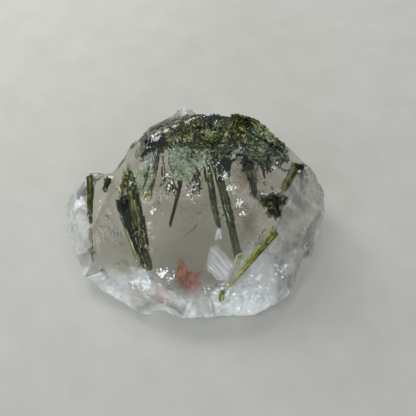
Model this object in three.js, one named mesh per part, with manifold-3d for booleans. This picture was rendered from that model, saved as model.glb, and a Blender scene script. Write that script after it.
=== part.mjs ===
// Green tourmaline in quartz: a broken lump of clear quartz, 69 mm wide, resting on its flat broken
// base. A felted mass of green tourmaline crystals lies along its crest, with needles growing down from
// it into the clear quartz. Further bundles, blades and clusters reach the broken surface round it.
// Millimetres, +Z up, the viewer's side is -Y. The origin is on the base, under the middle of the lump.
import * as THREE from "three";
import { mergeVertices } from "three/addons/utils/BufferGeometryUtils.js";
import Module from "manifold-3d";

const wasm = await Module();
wasm.setup();

const blankSize = 120; // the block that the fracture planes are cut from
const scoopFacet = 3.7; // length of a facet across a shell-shaped fracture
const pocketGap = 0.3; // clearance round each crystal in the quartz
const crystalSides = 9; // a tourmaline prism is a rounded triangle with grooved sides
const stoutSides = 6; // sides of the short stout crystals in the crest mass
const bulge = 0.14; // how far the three rounded edges stand out, as a share of the radius
const tipShare = 0.8; // radius at a crystal's far end, as a share of the radius at its root

// A closed three.js geometry as a solid.
function solidOf(geometry) {
  const bare = geometry.clone();
  bare.deleteAttribute("normal");
  bare.deleteAttribute("uv");
  const merged = mergeVertices(bare, 1e-4);
  return new wasm.Manifold(
    new wasm.Mesh({
      numProp: 3,
      vertProperties: new Float32Array(merged.attributes.position.array),
      triVerts: new Uint32Array(merged.index.array),
    }),
  );
}

// A solid as a three.js geometry.
function geometryOf(solid) {
  const mesh = solid.getMesh();
  const geometry = new THREE.BufferGeometry();
  geometry.setAttribute("position", new THREE.BufferAttribute(mesh.vertProperties, 3));
  geometry.setIndex(new THREE.BufferAttribute(mesh.triVerts, 1));
  geometry.computeVertexNormals();
  return geometry;
}

// The biggest piece of a solid: what the cuts break off is left out.
function biggestPiece(solid) {
  return solid.decompose().reduce((best, piece) => (piece.volume() > best.volume() ? piece : best));
}

// The direction that a broken face looks in: azimuth from +X towards +Y, tilt above the horizontal.
function facing(azimuth, tilt) {
  const a = THREE.MathUtils.degToRad(azimuth);
  const t = THREE.MathUtils.degToRad(tilt);
  return new THREE.Vector3(Math.cos(a) * Math.cos(t), Math.sin(a) * Math.cos(t), Math.sin(t));
}

// Everything on the outer side of a broken face through a point.
function beyond([x, y, z, azimuth, tilt]) {
  const block = new THREE.BoxGeometry(2 * blankSize, 2 * blankSize, blankSize);
  block.translate(0, 0, blankSize / 2);
  block.applyQuaternion(
    new THREE.Quaternion().setFromUnitVectors(new THREE.Vector3(0, 0, 1), facing(azimuth, tilt)),
  );
  block.translate(x, y, z);
  return solidOf(block);
}

// A convex lump bounded by broken faces, standing on z = 0.
function lumpOf(faces) {
  const blank = new THREE.BoxGeometry(blankSize, blankSize, blankSize);
  blank.translate(0, 0, blankSize / 2);
  return faces.reduce((lump, face) => lump.subtract(beyond(face)), solidOf(blank));
}

// The ball that leaves a shell-shaped hollow, dip deep, in a face through a point.
function scoop([x, y, z, azimuth, tilt, radius, dip]) {
  const round = Math.max(12, Math.round((2 * Math.PI * radius) / scoopFacet));
  const ball = new THREE.SphereGeometry(radius, round, Math.round(round / 2));
  const centre = new THREE.Vector3(x, y, z).addScaledVector(facing(azimuth, tilt), radius - dip);
  ball.rotateX(THREE.MathUtils.degToRad(tilt));
  ball.translate(centre.x, centre.y, centre.z);
  return solidOf(ball);
}

// A number from 0 to 1 that depends on its key alone.
function scatter(key) {
  const s = Math.sin(key * 12.9898 + 4.1414) * 43758.5453;
  return s - Math.floor(s);
}

// A tourmaline prism from root to tip. flat squeezes it across, turn rolls it about its own length, and
// grow makes it bigger all round, for its pocket.
function crystal({ root, tip, radius, flat = 1, turn = 0, taper = tipShare, sides }, grow = 0) {
  const from = new THREE.Vector3(...root);
  const along = new THREE.Vector3(...tip).sub(from);
  const length = along.length();
  const prism = new THREE.CylinderGeometry(1, 1, length + 2 * grow, sides ?? crystalSides);
  const place = prism.attributes.position;
  for (let i = 0; i < place.count; i++) {
    const angle = Math.atan2(place.getZ(i), place.getX(i));
    const share = place.getY(i) / length + 0.5;
    const size = radius * (1 + (taper - 1) * share) * (1 + bulge * Math.cos(3 * angle)) + grow;
    const across = (size - grow) * flat + grow;
    place.setX(i, place.getX(i) * size);
    place.setZ(i, place.getZ(i) * across);
  }
  prism.rotateY(THREE.MathUtils.degToRad(turn));
  prism.translate(0, length / 2, 0);
  prism.applyQuaternion(
    new THREE.Quaternion().setFromUnitVectors(new THREE.Vector3(0, 1, 0), along.normalize()),
  );
  prism.translate(from.x, from.y, from.z);
  return solidOf(prism);
}

// A rounded lump of felted crystals.
function clump([x, y, z, rx, ry, rz], grow = 0) {
  const ball = new THREE.IcosahedronGeometry(1, 1);
  ball.scale(rx + grow, ry + grow, rz + grow);
  ball.translate(x, y, z);
  return solidOf(ball);
}

function fused(solids) {
  return solids.reduce((all, solid) => all.add(solid));
}

// Broken faces of the main lump: a point on the face, then the azimuth and tilt that it looks in.
const mainFaces = [
  [-14.5, -21.8, 3, -106, 20], // rim, from front left to front right
  [-4, -23.9, 3, -113, 22],
  [4, -24.4, 3, -80, 22],
  [14.5, -23.4, 3, -74, 22],
  [20.6, -20.6, 3, -54, 24],
  [24.2, -17, 3, -38, 24],
  [24.9, -16.4, 3, -22, 4],
  [-20.2, -18, 3, -122, 24], // rim, left
  [-24.5, -14.6, 3, -132, 26],
  [-29, -8, 3, -158, 32],
  [-0.5, -8, 16.5, -95, 58], // the clear window
  [0, 6, 24.6, -98, 72], // above the window
  [-18, -4, 14, -138, 52], // left of the window
  [11.4, -5.7, 18.6, -74, 57], // the window's right part
  [8.3, -19.8, 9.6, -65.5, 44.6], // milky face below the window's right edge
  [19.2, -8.4, 15.5, -36, 33], // right side, upper
  [29.9, -4.4, 5, -32, 14], // right side, lower
  [31.8, 3.2, 8.8, -5.5, 23.9],
  [25.9, 7, 21.3, 22.6, 52], // right shoulder
  [23.8, 19.9, 21.5, 50, 38], // behind the crest, from right to left
  [16.2, 20.7, 25.2, 62, 48],
  [7.9, 20, 25.6, 84, 38],
  [-6.1, 21.8, 24.3, 104, 34],
  [-9.1, 18.7, 24.6, 130, 60],
  [-19.4, 17.7, 16.4, 156, 34],
  [-18, 11.7, 17.3, 174, 39], // left flank
  [0, 26.2, 6, 94, 6], // back
  [20.4, 20.9, 5, 58, 13.4],
  [-18.8, 21.3, 5, 128, 8],
];

// Broken faces of the low lobe that stands out at the left.
const leftLobeFaces = [
  [-27, 7, 11.6, -112, 74], // flat top
  [-29.3, 11.6, 11, 150, 30],
  [-34.6, 5.5, 6, 175, 22], // rough left end
  [-33, 1.5, 3.8, -166, 26],
  [-31, -4, 3, -150, 26],
  [-27.5, -9.5, 3, -134, 30], // front
  [-27.5, 13, 10.5, 92, 12], // back
  [4, 0, 8, 0, 8], // inside the main lump
];

// Broken faces of the knob behind the crest.
const knobFaces = [
  [-3.3, 22.4, 25.9, 30, 76],
  [-3.9, 22.4, 25.4, 176, 44],
  [-0.8, 22.5, 25.2, 12, 34],
  [-3, 24.8, 24, 96, 30],
  [-3, 20.4, 26.4, -90, 58],
];

// The undercut that lifts the rim off the surface.
const undercut = [
  [0, -22.4, 0, -90, -38],
  [-19, -17.6, 0, -125, -36],
  [20.5, -17.4, 0, -52, -38],
  [-28.2, -8, 0, -156, -36],
  [-32, 2, 0, 180, -34],
  [30, 2, 0, -2, -34],
  [0, 24.5, 0, 92, -40],
  [21, 18, 0, 50, -40],
  [-21, 17, 0, 132, -40],
];

// Shell-shaped fractures: a point on the face, its azimuth and tilt, the ball's radius, and the dip.
const scoops = [
  [-3, -7, 17.5, -95, 58, 52, 1.1], // window
  [6, 2, 23, -95, 62, 26, 0.8],
  [-8.5, -23.4, 2.5, -105, 10, 9, 1], // rim
  [8, -24.6, 2.5, -88, 10, 10, 0.9],
  [26.8, -12, 2.6, -22, 0, 8, 1.7],
  [-22, -15.5, 6, -128, 30, 12, 1],
  [-14.5, -20.5, 6, -110, 30, 9, 0.9],
  [3, -22, 8, -88, 34, 11, 0.9],
  [-22, -9, 9.6, -140, 50, 28, 1.2], // left window
  [-17, 3, 18, -140, 52, 24, 0.8],
  [-18.5, 13, 17.4, 168, 37, 10, 1], // left flank
  [16, -17, 9, -65, 44, 18, 0.9], // milky face
  [22, -12, 8.8, -42, 36, 14, 0.8],
  [27, 0, 13.4, -36, 33, 22, 0.9], // right side
  [27.6, 12, 18.6, 23, 52, 18, 0.5],
  [30, -3, 7, -30, 22, 16, 1],
  [-31.8, 9.4, 9.6, 140, 30, 7, 1], // left lobe
  [-31, -5, 4.5, -150, 28, 10, 0.8],
  [7.6, 20.6, 25.6, 90, 42, 5, 0.9], // dip behind the crest
  [0, 25.6, 12, 92, 14, 30, 2], // back
  [-12, 22.6, 14, 115, 20, 18, 1.4],
  [14, 23.4, 13, 72, 20, 16, 1.4],
  [22, 18, 12, 52, 24, 15, 1.2],
  [-19.5, 18, 10, 135, 20, 14, 1.2],
];

// The felted mass along the crest, as overlapping clumps: middle and radii.
const crestClumps = [
  [-11.8, 16.2, 19.8, 4.2, 4, 3.4],
  [-7, 17.2, 21.4, 5.2, 4.8, 3.6],
  [-1, 14.6, 23.6, 6, 6.6, 3.4],
  [-0.8, 9.6, 22.6, 4.8, 3.4, 2.2],
  [5.5, 14.4, 24.6, 6.2, 6.4, 4],
  [11.4, 16.8, 25, 6, 5, 4],
  [15.8, 12.2, 23.6, 5.2, 5.4, 3.8],
  [19.3, 11.8, 22.4, 3.3, 3.7, 2.7],
];
const crestCrystals = 34; // stout crystals that stand in the mass every way
const crestCrystalLength = [3, 6.5];
const crestCrystalRadius = [0.55, 1.1];

// Needles that grow down from the mass under the clear window.
const crestNeedles = [
  { root: [3.4, 9, 23.4], tip: [6.5, -6.6, 15.4], radius: 0.85 }, // long pair in the middle
  { root: [4.8, 9.4, 23.9], tip: [10.6, -12.9, 11.7], radius: 1.35, flat: 0.7 },
  { root: [-1.6, 11, 23.4], tip: [-6.3, -6.2, 15.1], radius: 0.62 }, // thin dark needle
  { root: [-8, 15, 21], tip: [-11.3, 0, 17], radius: 0.9, flat: 0.6 }, // deep ones
  { root: [13.4, 12, 22.4], tip: [15, -0.4, 17.2], radius: 1.15, flat: 0.7 },
  { root: [7.4, 12, 23], tip: [8, 4.6, 20.6], radius: 1.2 },
];

// Crystals that stand apart from the mass. Each group is grown together and reaches the broken surface.
const crystalGroups = {
  tourmaline_left_bundle: [
    { root: [-17.4, 8.4, 18.6], tip: [-12, -15, 10.2], radius: 1.5, taper: 0.7 },
    { root: [-18.9, 1.8, 14.4], tip: [-13.4, -11, 10.4], radius: 1.9, flat: 0.8, turn: 25 },
    { root: [-15.4, 6.6, 18.4], tip: [-10.7, -15.6, 10], radius: 0.9 },
    { root: [-17.9, 9.8, 16.6], tip: [-15.6, 3.4, 17.2], radius: 1.5, turn: 40 },
    { root: [-19.2, 5.8, 15.2], tip: [-14.9, 7.4, 18.1], radius: 1.3, turn: 10 },
    { root: [-18.9, 3.4, 14.8], tip: [-16, 8.2, 18.4], radius: 1.1, turn: 70 },
  ],
  tourmaline_left_lobe_needle: [
    { root: [-27.4, 11.2, 12.6], tip: [-26.9, 0.6, 9.2], radius: 0.85, taper: 0.6 },
    { root: [-26.95, 1.6, 9.5], tip: [-25.7, -9.4, 4.7], radius: 0.5, taper: 0.7 },
  ],
  tourmaline_notch_stub: [
    { root: [-23.2, 12.4, 13.2], tip: [-22.4, 8.2, 11.6], radius: 1.1, flat: 0.8 },
  ],
  tourmaline_right_blade: [
    { root: [19.5, -8, 15], tip: [8.2, -19.5, 9.2], radius: 1.1, flat: 0.6, taper: 0.5, turn: 20 },
    { root: [18.6, -8.2, 14.8], tip: [12.6, -14.6, 12], radius: 0.9, flat: 0.6, turn: 60 },
  ],
  tourmaline_right_cluster: [
    { root: [18, 0.6, 19.6], tip: [20.4, -4.8, 16.6], radius: 1.6, taper: 1 },
    { root: [16.4, -2.4, 19.2], tip: [22, -1, 18.2], radius: 1.4, turn: 30, taper: 1 },
    { root: [21.2, 0.8, 19.4], tip: [17.8, -4.4, 17.2], radius: 1.2, turn: 50, taper: 1 },
    { root: [19.4, -1.6, 16.4], tip: [19.6, -2.4, 19.4], radius: 1.5, turn: 15, taper: 0.9 },
  ],
  tourmaline_right_prism: [
    { root: [26.4, 7.8, 20.2], tip: [24.2, 7, 21.8], radius: 1.1, turn: 20, taper: 1 },
    { root: [24.2, 7.2, 21.5], tip: [21.5, 1.2, 20.1], radius: 1, flat: 0.8 },
    { root: [25.8, 8.4, 19.8], tip: [26, 4, 16.6], radius: 0.5 },
  ],
  tourmaline_rim_fleck: [{ root: [6.5, -20.6, 8.3], tip: [6.2, -22.4, 5.9], radius: 0.7 }],
};

// The crest mass: clumps, stout crystals scattered over them, and the needles below.
function crestMass(grow) {
  const parts = crestClumps.map((c) => clump(c, grow));
  for (let i = 0; i < crestCrystals; i++) {
    const [x, y, z, rx, ry, rz] = crestClumps[i % crestClumps.length];
    const around = 2 * Math.PI * scatter(i);
    const up = 1.5 * scatter(i + 0.3) - 0.55;
    const level = Math.sqrt(Math.max(0, 1 - up * up));
    const middle = [
      x + 0.8 * rx * level * Math.cos(around),
      y + 0.8 * ry * level * Math.sin(around),
      z + 0.8 * rz * up,
    ];
    const lean = facing(360 * scatter(i + 0.5), 70 * scatter(i + 0.7) - 25);
    const reach = 0.5 * THREE.MathUtils.lerp(...crestCrystalLength, scatter(i + 0.9));
    const radius = THREE.MathUtils.lerp(...crestCrystalRadius, scatter(i + 0.11));
    const end = (way) => middle.map((m, axis) => m + way * reach * lean.getComponent(axis));
    const turn = 120 * scatter(i + 0.2);
    parts.push(crystal({ root: end(-1), tip: end(1), radius, turn, sides: stoutSides }, grow));
  }
  parts.push(...crestNeedles.map((needle) => crystal(needle, grow)));
  return fused(parts);
}

const groupOf = (crystals, grow) => fused(crystals.map((one) => crystal(one, grow)));

// The quartz: lumps joined, shell-shaped fractures taken out, and a pocket for every crystal.
function quartzHost() {
  const lump = fused([mainFaces, leftLobeFaces, knobFaces].map((f) => lumpOf([...f, ...undercut])));
  const broken = scoops.reduce((left, one) => left.subtract(scoop(one)), lump);
  const pockets = [crestMass(pocketGap)];
  for (const crystals of Object.values(crystalGroups)) pockets.push(groupOf(crystals, pocketGap));
  return biggestPiece(pockets.reduce((left, pocket) => left.subtract(pocket), broken));
}

const clear = new THREE.MeshStandardMaterial({ color: 0xd9dad2, roughness: 0.15, metalness: 0 });
const green = new THREE.MeshStandardMaterial({ color: 0x2f3a1c, roughness: 0.35, metalness: 0 });
const olive = new THREE.MeshStandardMaterial({ color: 0x6d7322, roughness: 0.35, metalness: 0 });

const group = new THREE.Group();
function addPiece(name, solid, material) {
  const mesh = new THREE.Mesh(geometryOf(solid), material);
  mesh.name = name;
  group.add(mesh);
}

addPiece("quartz", quartzHost(), clear);
addPiece("tourmaline_crest", crestMass(0), green);
for (const [name, crystals] of Object.entries(crystalGroups)) {
  addPiece(name, groupOf(crystals, 0), name === "tourmaline_right_blade" ? olive : green);
}

export default group;
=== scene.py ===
# Green tourmaline in quartz: a clear broken lump with a frosted rim, what cracked and stained inside it, and
# the tourmaline crystals in it. Places and sizes are in millimetres and become metres as a mesh is made.
import itertools
import math

import bpy
import numpy as np
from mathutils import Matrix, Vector


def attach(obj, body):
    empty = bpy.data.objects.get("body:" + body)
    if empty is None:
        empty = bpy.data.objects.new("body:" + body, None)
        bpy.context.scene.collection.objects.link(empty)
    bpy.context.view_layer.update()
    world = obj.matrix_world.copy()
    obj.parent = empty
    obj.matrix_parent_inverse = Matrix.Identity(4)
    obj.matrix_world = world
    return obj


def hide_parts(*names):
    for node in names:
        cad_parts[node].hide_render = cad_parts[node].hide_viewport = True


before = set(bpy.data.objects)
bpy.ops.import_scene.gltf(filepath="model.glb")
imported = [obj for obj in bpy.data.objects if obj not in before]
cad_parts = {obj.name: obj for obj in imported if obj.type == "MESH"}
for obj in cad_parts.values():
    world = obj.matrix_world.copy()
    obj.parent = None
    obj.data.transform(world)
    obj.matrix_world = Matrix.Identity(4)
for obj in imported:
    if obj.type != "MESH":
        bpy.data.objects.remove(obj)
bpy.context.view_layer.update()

metresPerMm = 0.001
middle = np.array([-2.0, 0.0, 8.0])  # the whole lump is seen from here: one distance per direction
farAway = 500.0
fullTurn = 6.283  # radians, for random phases and sides


# One output socket of a material. Python's operators on it add Math nodes.
class Signal:
    def __init__(self, finish, socket):
        self.finish, self.socket = finish, socket

    def math(self, operation, *terms):
        return self.finish.add("ShaderNodeMath", {"operation": operation}, dict(enumerate(terms)))

    def __add__(self, other):
        return self.math("ADD", self, other)

    __radd__ = __add__

    def __sub__(self, other):
        return self.math("SUBTRACT", self, other)

    def __rsub__(self, other):
        return self.math("SUBTRACT", other, self)

    def __mul__(self, other):
        return self.math("MULTIPLY", self, other)

    __rmul__ = __mul__

    # Smooth step from 0 at low to 1 at high.
    def step(self, low, high):
        sockets = {"Value": self, "From Min": low, "From Max": high}
        return self.finish.add("ShaderNodeMapRange", {"interpolation_type": "SMOOTHSTEP"}, sockets)


# One material's node tree. add() makes a node: its settings first, then its sockets' values or links.
class Finish:
    def __init__(self, name):
        self.material = bpy.data.materials.new(name)
        self.material.use_nodes = True
        self.tree = self.material.node_tree
        self.tree.nodes.clear()
        self.out = self.tree.nodes.new("ShaderNodeOutputMaterial")

    def add(self, kind, settings=None, sockets=None, output=0):
        node = self.tree.nodes.new(kind)
        for key, value in (settings or {}).items():
            if key == "stops":
                self.setStops(node.color_ramp, value)
            else:
                setattr(node, key, value)
        for key, value in (sockets or {}).items():
            source = getattr(value, "socket", value)
            if isinstance(source, bpy.types.NodeSocket):
                self.tree.links.new(source, node.inputs[key])
            else:
                node.inputs[key].default_value = source
        return Signal(self, node.outputs[output])

    def setStops(self, ramp, stops):
        while len(ramp.elements) < len(stops):
            ramp.elements.new(0.5)
        for element, (place, colour) in zip(ramp.elements, stops):
            element.position, element.color = place, (*colour, 1)

    # Object coordinates, stretched.
    def place(self, stretch=(1, 1, 1)):
        spot = self.add("ShaderNodeTexCoord", output="Object")
        return self.add("ShaderNodeMapping", None, {"Vector": spot, "Scale": stretch})

    # Noise with features of about the given size in millimetres.
    def noise(self, size, detail=3, stretch=(1, 1, 1), distort=0, at=None):
        where = at if at is not None else self.place(stretch)
        sockets = {"Vector": where, "Scale": 1 / (size * metresPerMm), "Detail": detail}
        sockets |= {"Roughness": 0.55, "Distortion": distort}
        return self.add("ShaderNodeTexNoise", None, sockets, output="Fac")

    def attribute(self, name, output="Fac"):
        return self.add("ShaderNodeAttribute", {"attribute_name": name}, output=output)

    # The piece's own grain, stretched: where a point is across and along the crystal or film it belongs to.
    def grain(self, stretch):
        scale = tuple(metresPerMm * k for k in stretch)
        return self.vector("MULTIPLY", self.attribute("grain", "Vector"), scale)

    # Small flat breaks: each point takes the nearest centre q, and its height is (p - q) · lean(q).
    def facets(self, size):
        spot = self.place((1 / (size * metresPerMm),) * 3)
        near = {"Vector": spot, "Scale": 1.0}
        centre = self.add("ShaderNodeTexVoronoi", None, near, output="Position")
        lean = self.add("ShaderNodeTexVoronoi", None, near, output="Color")
        away, lean = self.vector("SUBTRACT", spot, centre), self.vector("SUBTRACT", lean, (0.5, 0.5, 0.5))
        return self.vector("DOT_PRODUCT", away, lean, output="Value")

    def vector(self, operation, first, second, output="Vector"):
        settings = {"operation": operation}
        return self.add("ShaderNodeVectorMath", settings, {0: first, 1: second}, output=output)

    def ramp(self, value, *stops):
        return self.add("ShaderNodeValToRGB", {"stops": stops}, {"Fac": value}, output="Color")

    def blend(self, share, first, second):
        return self.add("ShaderNodeMix", {"data_type": "RGBA"}, {0: share, 6: first, 7: second}, output=2)

    def bump(self, height, depth, strength=1.0):
        sockets = {"Height": height, "Distance": depth * metresPerMm, "Strength": strength}
        return self.add("ShaderNodeBump", None, sockets)

    def shader(self, **sockets):
        sockets = {name.replace("_", " "): value for name, value in sockets.items()}
        return self.add("ShaderNodeBsdfPrincipled", None, sockets)

    def mixShader(self, share, first, second):
        return self.add("ShaderNodeMixShader", None, {0: share, 1: first, 2: second})

    def finish(self, surface, volume=None):
        self.tree.links.new(surface.socket, self.out.inputs["Surface"])
        if volume is not None:
            self.tree.links.new(volume.socket, self.out.inputs["Volume"])
        return self.material


# Hashed number from 0 to 1 for whole numbers on a lattice: the fraction of a large sine.
def hashed(cell, seed):
    mixed = cell @ np.array([127.1, 311.7, 74.7]) + seed * 53.17
    return np.modf(np.abs(np.sin(mixed) * 43758.5453))[0]


# Smooth noise from -1 to 1: the eight corners' hashed numbers, blended by 3t² - 2t³ along each axis.
def wander(points, size, seed):
    cell = np.floor(points / size)
    part = points / size - cell
    part = part * part * (3 - 2 * part)
    total = 0
    for corner in itertools.product((0, 1), repeat=3):
        share = np.prod(np.where(corner, part, 1 - part), axis=1)
        total = total + share * hashed(cell + corner, seed)
    return 2 * total - 1


# Small flat breaks: each point takes the nearest scattered centre q, and its height is (p - q) · lean(q).
def splinters(points, size, seed):
    cell = np.floor(points / size)
    nearest = np.full(len(points), 9.0)
    height = np.zeros(len(points))
    for shift in itertools.product((-1, 0, 1), repeat=3):
        corner = cell + shift
        centre = corner + np.stack([hashed(corner, seed + k) for k in range(3)], 1)
        lean = np.stack([hashed(corner, seed + 3 + k) for k in range(3)], 1) - 0.5
        away = points / size - centre
        distance = (away * away).sum(1)
        closer = distance < nearest
        nearest = np.where(closer, distance, nearest)
        height = np.where(closer, (away * lean).sum(1), height)
    return height


# A sum of breaks or waves over points; a row is height, size and seed.
def relief(shape, points, rows):
    return sum(height * shape(points, size, seed) for height, size, seed in rows)


# Rows of vectors made one long: v / |v|.
def unit(rows):
    return rows / np.linalg.norm(rows, axis=1)[:, None]


# A table with each row repeated as often as the number in one column says.
def repeated(rows, column):
    table = np.array(rows, dtype=float)
    return np.repeat(table, table[:, column].astype(int), axis=0)


# Spots scattered about the x, y, z of rows that go on with spread and how many: p + share * spread * normal.
def strewn(rng, rows, share):
    table = repeated(rows, 4)
    return table, table[:, :3] + rng.normal(scale=share, size=(len(table), 3)) * table[:, 3:4]


# How near points are to places x, y, z, radius and weight: the sum of weight * exp(-distance² / radius²).
def nearness(points, rows):
    return sum(weight * np.exp(-((points - spot) ** 2).sum(1) / size**2) for *spot, size, weight in rows)


# Unit vectors from azimuth and tilt in degrees: (cos a cos t, sin a cos t, sin t).
def facing(azimuth, tilt):
    a, t = np.radians(azimuth), np.radians(tilt)
    return np.stack([np.cos(a) * np.cos(t), np.sin(a) * np.cos(t), np.sin(t)], -1)


# The quartz. A broken face is x, y, z, azimuth, tilt and how frosted it is.
quartz = {
    "rows": 250,  # steps of the grid from the right end to the left end
    "spokes": 256,  # and round the left-right axis
    "rounding": 0.14,  # how softly two faces meet
    "frostBlend": 1.1,  # how far the frost of one face runs into the next
    "mainFaces": [
        [-14.5, -21.8, 3, -106, 20, 0.9],  # rim, from front left to front right
        [-4, -23.9, 3, -113, 22, 0.8], [4, -24.4, 3, -80, 22, 0.9], [14.5, -23.4, 3, -74, 22, 0.9],
        [20.6, -20.6, 3, -54, 24, 0.9], [24.2, -17, 3, -38, 24, 0.9], [24.9, -16.4, 3, -22, 4, 0.6],
        [-20.2, -18, 3, -122, 24, 0.8], [-24.5, -14.6, 3, -132, 26, 0.8], [-29, -8, 3, -158, 32, 0.2],
        [-0.5, -8, 16.5, -95, 58, 0],  # the clear window
        [0, 6, 24.6, -98, 72, 0], [-18, -4, 14, -138, 52, 0.05], [11.4, -5.7, 18.6, -74, 57, 0],
        [8.3, -19.8, 9.6, -65.5, 44.6, 0.7],  # milky face
        [19.2, -8.4, 15.5, -36, 33, 0.42], [29.9, -4.4, 5, -32, 14, 0.38], [31.8, 3.2, 8.8, -5.5, 23.9, 0.4],
        [25.9, 7, 21.3, 22.6, 52, 0.2],
        [23.8, 19.9, 21.5, 50, 38, 0.25],  # behind the crest
        [16.2, 20.7, 25.2, 62, 48, 0.25], [7.9, 20, 25.6, 84, 38, 0.15], [-6.1, 21.8, 24.3, 104, 34, 0.2],
        [-9.1, 18.7, 24.6, 130, 60, 0.1], [-19.4, 17.7, 16.4, 156, 34, 0.2],
        [-18, 11.7, 17.3, 174, 39, 0.1],  # left flank
        [0, 26.2, 6, 94, 6, 0.15],  # back
        [20.4, 20.9, 5, 58, 13.4, 0.15], [-18.8, 21.3, 5, 128, 8, 0.15],
    ],
    "leftLobeFaces": [
        [-27, 7, 11.6, -112, 74, 0.15],  # flat top
        [-29.3, 11.6, 11, 150, 30, 0.5],
        [-34.6, 5.5, 6, 175, 22, 0.6],  # rough left end
        [-33, 1.5, 3.8, -166, 26, 0.6], [-31, -4, 3, -150, 26, 0.55], [-27.5, -9.5, 3, -134, 30, 0.7],
        [-27.5, 13, 10.5, 92, 12, 0.3], [4, 0, 8, 0, 8, 0],
    ],
    "knobFaces": [
        [-3.3, 22.4, 26.2, 30, 76, 0.6], [-4.1, 22.4, 25.4, 176, 44, 0.6], [-0.7, 22.5, 25.2, 12, 34, 0.6],
        [-3, 25.3, 24.2, 96, 30, 0.3], [-3, 20.4, 26.9, -90, 58, 0.6],
    ],
    # faces that lean in under the rim of every lump
    "undercut": [
        [0, -22.4, 0, -90, -38, 0.9], [-19, -17.6, 0, -125, -36, 0.9], [20.5, -17.4, 0, -52, -38, 0.9],
        [-28.2, -8, 0, -156, -36, 0.9], [-32, 2, 0, 180, -34, 0.9], [30, 2, 0, -2, -34, 0.7],
        [0, 24.5, 0, 92, -40, 0.3], [21, 18, 0, 50, -40, 0.3], [-21, 17, 0, 132, -40, 0.3],
    ],
    # shell-shaped fractures: a point, azimuth and tilt, the ball's radius, the dip, and the frosting
    "scoops": [
        [-3, -7, 17.5, -95, 58, 52, 1.1, 0], [6, 2, 23, -95, 62, 26, 0.8, 0],
        [-8.5, -23.4, 2.5, -105, 10, 9, 1, 0.6], [8, -24.6, 2.5, -88, 10, 10, 0.9, 0.8],
        [26.8, -12, 2.6, -22, 0, 8, 1.7, 0.6], [-22, -15.5, 6, -128, 30, 12, 1, 0.6],
        [-14.5, -20.5, 6, -110, 30, 9, 0.9, 0.4], [3, -22, 8, -88, 34, 11, 0.9, 0.6],
        [-22, -9, 9.6, -140, 50, 28, 1.2, 0.05], [-17, 3, 18, -140, 52, 24, 0.8, 0],
        [-18.5, 13, 17.4, 168, 37, 10, 1, 0.1], [16, -17, 9, -65, 44, 18, 0.9, 0.7],
        [22, -12, 8.8, -42, 36, 14, 0.8, 0.5], [27, 0, 13.4, -36, 33, 22, 0.9, 0.38],
        [27.6, 12, 18.6, 23, 52, 18, 0.5, 0.15], [30, -3, 7, -30, 22, 16, 1, 0.3],
        [-31.8, 9.4, 9.6, 140, 30, 7, 1, 0.6], [-31, -5, 4.5, -150, 28, 10, 0.8, 0.6],
        [7.6, 20.6, 25.6, 90, 42, 5, 0.9, 0.3], [0, 25.6, 12, 92, 14, 30, 2, 0.1],
        [-12, 22.6, 14, 115, 20, 18, 1.4, 0.1], [14, 23.4, 13, 72, 20, 16, 1.4, 0.12],
        [22, 18, 12, 52, 24, 15, 1.2, 0.15], [-19.5, 18, 10, 135, 20, 14, 1.2, 0.15],
    ],
    # more frosted places: x, y, z, radius and weight
    "frosty": [[-3.8, -21.5, 5.6, 2.4, 0.9], [-3, 23, 27, 2.6, 0.9]],
    # shell-shaped chips: how many, least and most radius and dip, and their chance on edges and by frost
    "chips": [[330, 1.6, 4.5, 0.1, 0.4, 0.4, 0.15], [50, 6, 16, 0.08, 0.26, 0.9, 0]],
    # fine relief: height, size and seed
    "frostSplinters": [[0.5, 3.2, 3], [0.22, 1.5, 11]],
    "crestSplinters": [[0.4, 2.2, 17], [0.25, 1.1, 23]],
    "waves": [[0.05, 3.5, 5], [0.03, 1.4, 8]],
    "sunk": 0.04,  # the whole surface lies this much lower
    "crestFrom": 22.5,  # height at which the crest's splinters begin
    "edgeFrost": 2.0,  # how strongly sharp edges are frosted
    "baseFrost": 0.12,
}


# Distance from the middle to each face along each ray: (p - middle) · n / (ray · n).
def faceReach(rays, faces):
    faces = np.array(faces)
    normal = facing(faces[:, 3], faces[:, 4])
    gap = ((faces[:, :3] - middle) * normal).sum(1)
    along = rays @ normal.T
    return np.where(along > 1e-5, gap / np.maximum(along, 1e-5), farAway)


# Distance from the middle to a ball's near side: b - sqrt(b² - c² + R²), where b is ray · centre.
def ballReach(rays, centre, radius):
    away = centre - middle
    along = rays @ away.T
    inside = along**2 - ((away**2).sum(-1) - radius**2)
    hit = (inside > 0) & (along > 0)
    return np.where(hit, along - np.sqrt(np.maximum(inside, 0)), farAway)


# The least of several distances with rounded edges: -k ln sum exp(-t / k), and each one's share in it.
def roundedLeast(reach, rounding):
    least = reach.min(1, keepdims=True)
    share = np.exp(-(reach - least) / rounding)
    total = share.sum(1, keepdims=True)
    return least[:, 0] - rounding * np.log(total[:, 0]), share / total


# The lumps before chipping: per ray the distance, frosting, direction faced and how near an edge it is. The
# crease on top between the left lobe and the main lump is part frosted, by 0.5 exp(-(gap / 0.3)²).
def lumpReach(rays, rounding):
    best = None
    for name in ("mainFaces", "leftLobeFaces", "knobFaces"):
        faces = quartz[name] + quartz["undercut"]
        flat = faceReach(rays, faces)
        reach, share = roundedLeast(flat, rounding)
        _, wide = roundedLeast(flat, quartz["frostBlend"])
        table = np.array(faces)
        normal = share @ facing(table[:, 3], table[:, 4])
        own = share[:, :len(quartz[name])].sum(1)
        found = np.array([reach, wide @ table[:, 5], *normal.T, 1 - share.max(1), own])
        if best is None:
            best = found
            continue
        crease = 0.5 * np.exp(-(((found[0] - best[0]) / 0.3) ** 2)) * np.minimum(own, best[6])
        crease = crease * (name == "leftLobeFaces") * (rays[:, 2] > 0) * (rays[:, 1] < 0.5)
        best = np.where(found[0] > best[0], found, best)
        best[1] = np.maximum(best[1], crease)
    return best[0], best[1], best[2:5].T, best[5]


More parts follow.
